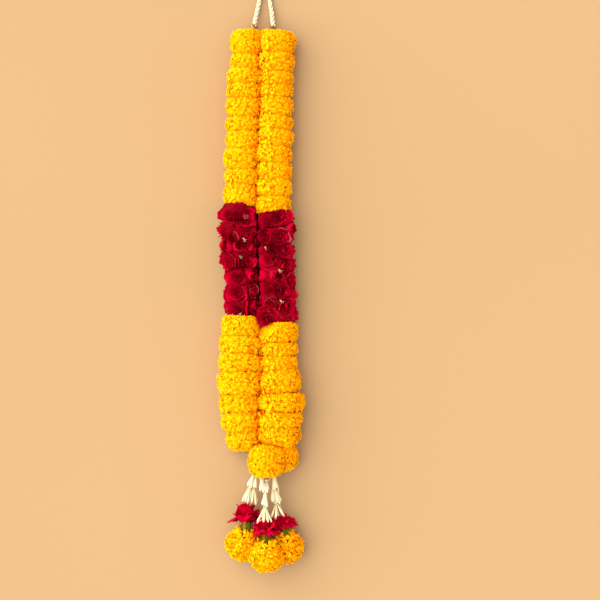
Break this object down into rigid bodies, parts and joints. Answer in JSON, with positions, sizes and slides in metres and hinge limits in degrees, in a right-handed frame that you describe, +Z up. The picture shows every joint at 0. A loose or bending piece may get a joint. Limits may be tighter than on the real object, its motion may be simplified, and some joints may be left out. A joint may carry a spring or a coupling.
{
  "type": "marigold garland",
  "caption": "Flower garland of threaded marigold heads and red roses, its ropes side by side, with a neck loop of cream buds and a tassel of flowers.",
  "frame": {"origin": "on the surface that the garland lies on, under the middle of its outline", "axes": "+Y along the two ropes from the tassel to the neck loop, +Z up from the surface, and +X across the ropes, to the right when the garland is seen from above with its loop at the top"},
  "size_m": [0.1402, 0.9384, 0.08],
  "materials": {
    "marigold_petals": "soft, matt petals",
    "rose_petals": "velvety petals",
    "cream_buds": "waxy, satin buds",
    "green_cup": "smooth, slightly waxy",
    "cotton_thread": "matt twisted cotton"
  },
  "bodies": {
    "root": {"bud_string_left": "cream_buds", "bud_string_middle": "cream_buds", "bud_string_right": "cream_buds", "garland_thread": "cotton_thread", "green_cup_left": "green_cup", "green_cup_middle": "green_cup", "green_cup_right": "green_cup", "marigold_join": "marigold_petals", "marigold_left_lower_1": "marigold_petals", "marigold_left_lower_2": "marigold_petals", "marigold_left_lower_3": "marigold_petals", "marigold_left_lower_4": "marigold_petals", "marigold_left_lower_5": "marigold_petals", "marigold_left_lower_6": "marigold_petals", "marigold_left_lower_7": "marigold_petals", "marigold_left_upper_1": "marigold_petals", "marigold_left_upper_10": "marigold_petals", "marigold_left_upper_2": "marigold_petals", "marigold_left_upper_3": "marigold_petals", "marigold_left_upper_4": "marigold_petals", "marigold_left_upper_5": "marigold_petals", "marigold_left_upper_6": "marigold_petals", "marigold_left_upper_7": "marigold_petals", "marigold_left_upper_8": "marigold_petals", "marigold_left_upper_9": "marigold_petals", "marigold_right_lower_1": "marigold_petals", "marigold_right_lower_2": "marigold_petals", "marigold_right_lower_3": "marigold_petals", "marigold_right_lower_4": "marigold_petals", "marigold_right_lower_5": "marigold_petals", "marigold_right_lower_6": "marigold_petals", "marigold_right_lower_7": "marigold_petals", "marigold_right_lower_8": "marigold_petals", "marigold_right_upper_1": "marigold_petals", "marigold_right_upper_10": "marigold_petals", "marigold_right_upper_11": "marigold_petals", "marigold_right_upper_2": "marigold_petals", "marigold_right_upper_3": "marigold_petals", "marigold_right_upper_4": "marigold_petals", "marigold_right_upper_5": "marigold_petals", "marigold_right_upper_6": "marigold_petals", "marigold_right_upper_7": "marigold_petals", "marigold_right_upper_8": "marigold_petals", "marigold_right_upper_9": "marigold_petals", "marigold_tassel_left": "marigold_petals", "marigold_tassel_middle": "marigold_petals", "marigold_tassel_right": "marigold_petals", "neck_string_left": "cream_buds", "neck_string_right": "cream_buds", "rose_tassel_left": "rose_petals", "rose_tassel_middle": "rose_petals", "rose_tassel_right": "rose_petals", "roses_left_1": "rose_petals", "roses_left_2": "rose_petals", "roses_left_3": "rose_petals", "roses_right_1": "rose_petals", "roses_right_2": "rose_petals", "roses_right_3": "rose_petals", "tassel_tie": "cotton_thread"}
  },
  "joints": []
}
